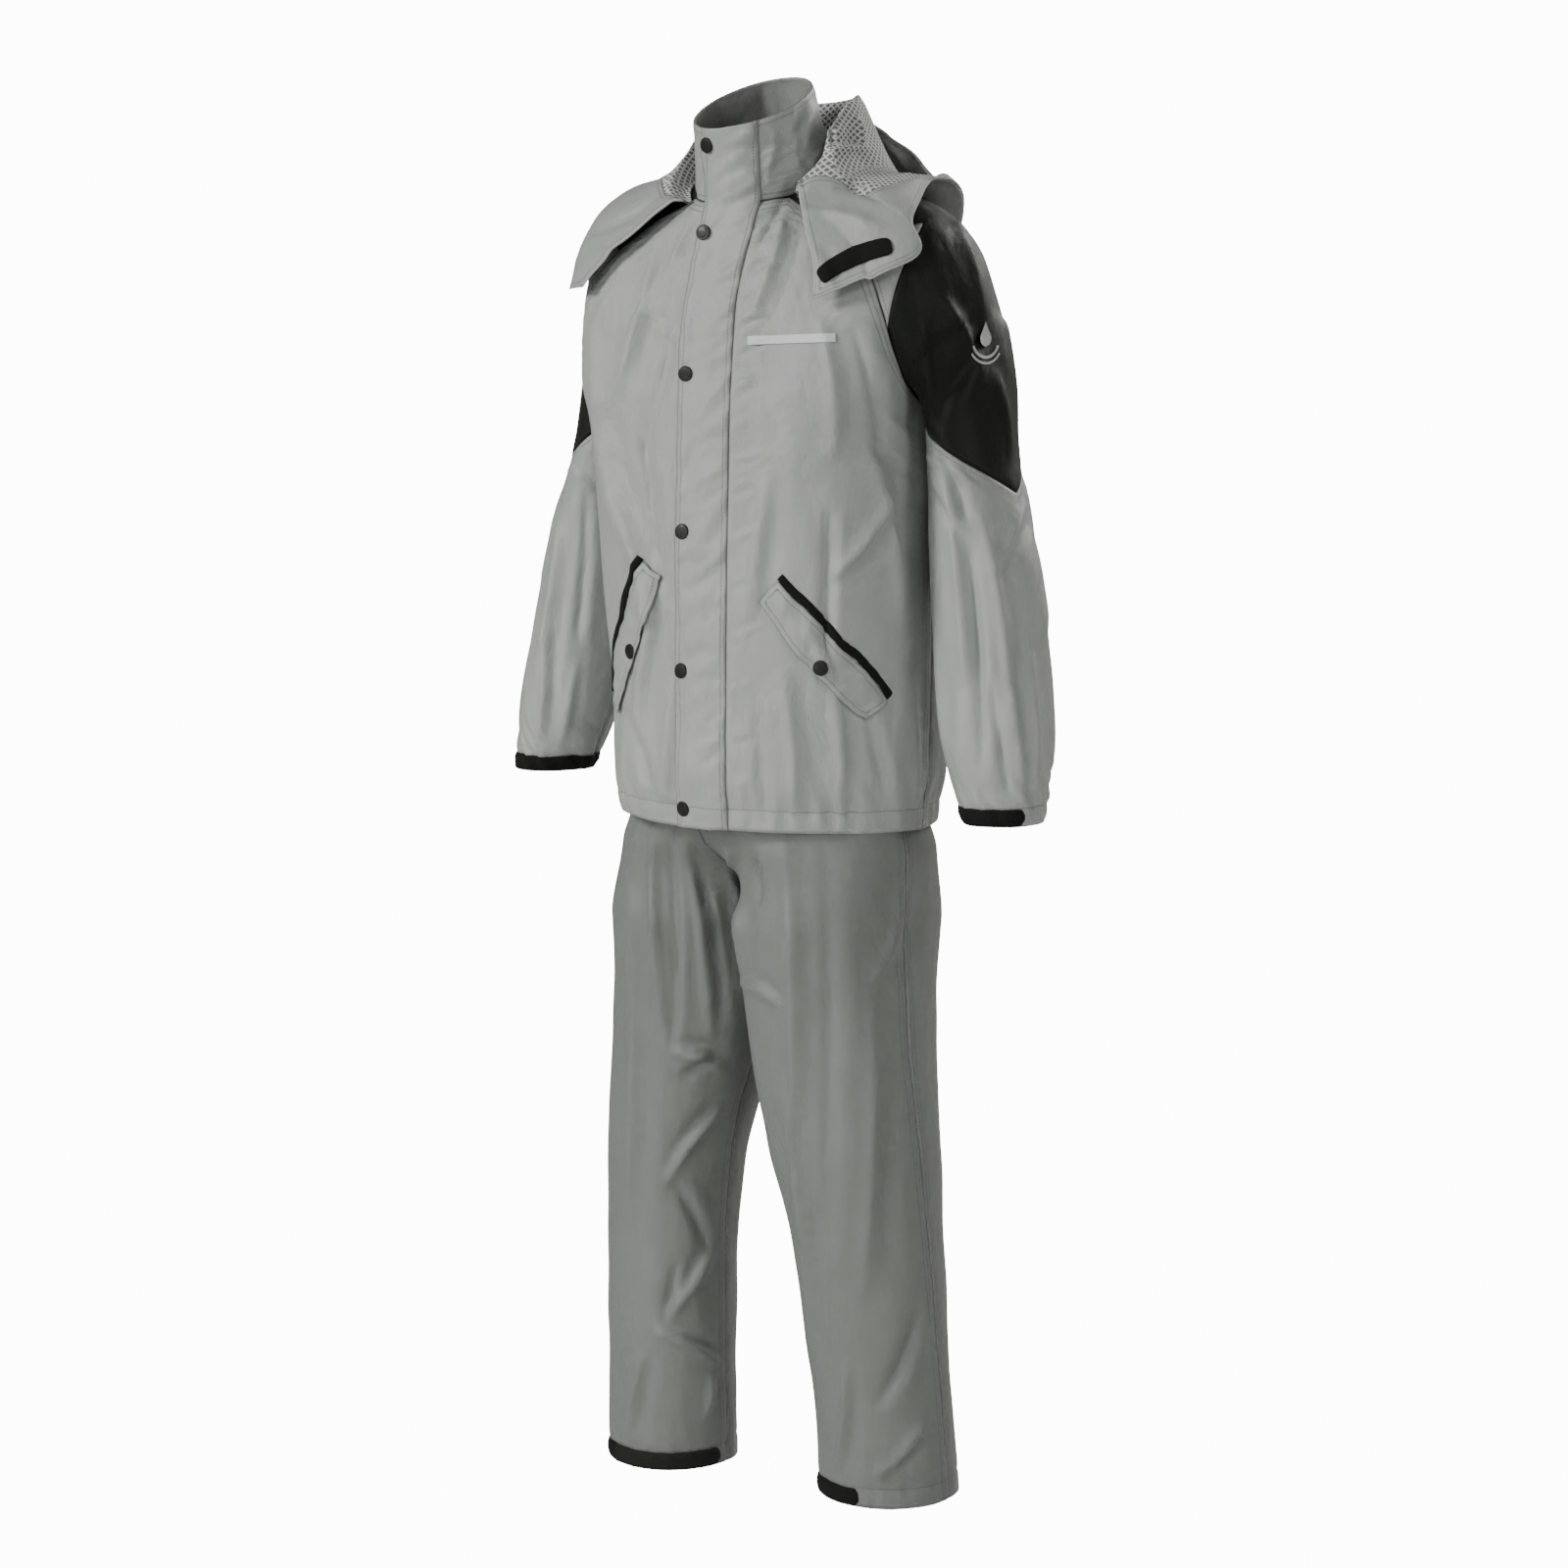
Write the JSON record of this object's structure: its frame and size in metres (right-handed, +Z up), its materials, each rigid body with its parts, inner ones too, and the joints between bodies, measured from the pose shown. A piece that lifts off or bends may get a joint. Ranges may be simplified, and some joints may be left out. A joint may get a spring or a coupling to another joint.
{
  "type": "rain suit",
  "caption": "Hooded rain jacket and trousers of coated cloth, filled out as worn: raglan sleeves with dark overarms, storm flap with snaps, slanted pockets, hood thrown back.",
  "frame": {"origin": "the base of the neck, in the middle of the neck opening where the collar is sewn on; the wearer holds the suit up there", "axes": "+Z up along the standing wearer, -Y the way the wearer faces, +X towards the wearer's left hand"},
  "size_m": [0.6559, 0.3236, 1.531],
  "materials": {
    "shell": "satin coated polyester, light grey",
    "trousers": "satin coated polyester, mid grey",
    "overarm": "satin coated polyester, black olive",
    "mesh": "open diamond knit mesh, off white",
    "tape": "hook and loop tape and webbing, black",
    "snap": "moulded snap cap, near black"
  },
  "bodies": {
    "root": {"collar": "shell", "cuff_tape_left": "tape", "cuff_tape_right": "tape", "gusset_left": "shell", "gusset_right": "shell", "hood_facing": "shell", "hood_lining": "mesh", "hood_shell": "shell", "hood_tape": "tape", "jacket_back": "shell", "jacket_front_left": "shell", "jacket_front_right": "shell", "leg_tape_left": "tape", "leg_tape_right": "tape", "pocket_flap_left": "shell", "pocket_flap_right": "shell", "pocket_snap_left": "snap", "pocket_snap_right": "snap", "pocket_welt_left": "tape", "pocket_welt_right": "tape", "sleeve_lower_left": "shell", "sleeve_lower_right": "shell", "sleeve_upper_left": "overarm", "sleeve_upper_right": "overarm", "snap_1": "snap", "snap_2": "snap", "snap_3": "snap", "snap_4": "snap", "snap_5": "snap", "snap_6": "snap", "storm_flap": "shell", "trousers_back_left": "trousers", "trousers_back_right": "trousers", "trousers_front_left": "trousers", "trousers_front_right": "trousers", "waistband": "trousers"}
  },
  "joints": []
}
